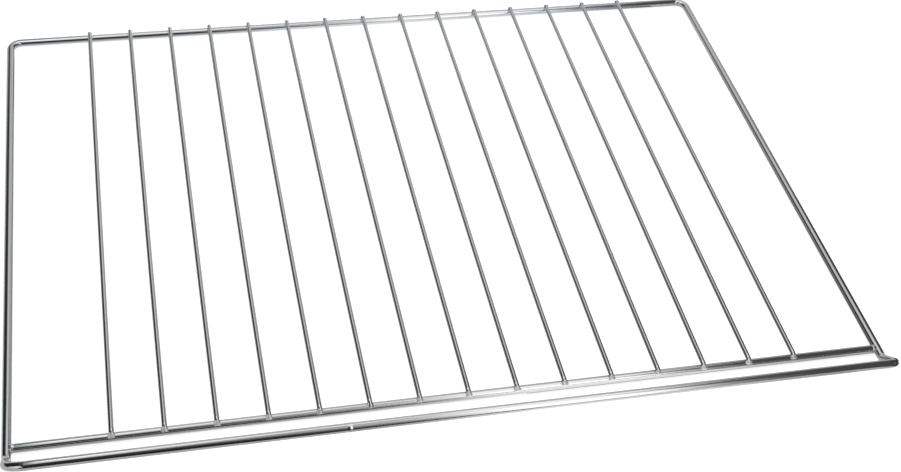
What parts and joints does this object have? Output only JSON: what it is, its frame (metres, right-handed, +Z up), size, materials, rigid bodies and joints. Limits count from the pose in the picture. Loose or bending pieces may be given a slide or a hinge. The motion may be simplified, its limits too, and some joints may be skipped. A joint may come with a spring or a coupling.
{
  "type": "oven shelf rack",
  "caption": "Flat oven shelf rack of bright plated steel wire: a bent closed frame with a raised front rail, and thin parallel shelf wires welded across it.",
  "frame": {"origin": "on the plane the frame wire rests on, below the middle of the rack", "axes": "+X along the front rail to the right, +Y from the raised front rail to the rear rail, +Z up"},
  "size_m": [0.45, 0.3467, 0.0148],
  "materials": {
    "plated_wire": "bright plated, polished, a little satin at the welds"
  },
  "bodies": {
    "root": {"frame_loop": "plated_wire", "front_cross_rail": "plated_wire", "shelf_wire_01": "plated_wire", "shelf_wire_02": "plated_wire", "shelf_wire_03": "plated_wire", "shelf_wire_04": "plated_wire", "shelf_wire_05": "plated_wire", "shelf_wire_06": "plated_wire", "shelf_wire_07": "plated_wire", "shelf_wire_08": "plated_wire", "shelf_wire_09": "plated_wire", "shelf_wire_10": "plated_wire", "shelf_wire_11": "plated_wire", "shelf_wire_12": "plated_wire", "shelf_wire_13": "plated_wire", "shelf_wire_14": "plated_wire", "shelf_wire_15": "plated_wire"}
  },
  "joints": []
}
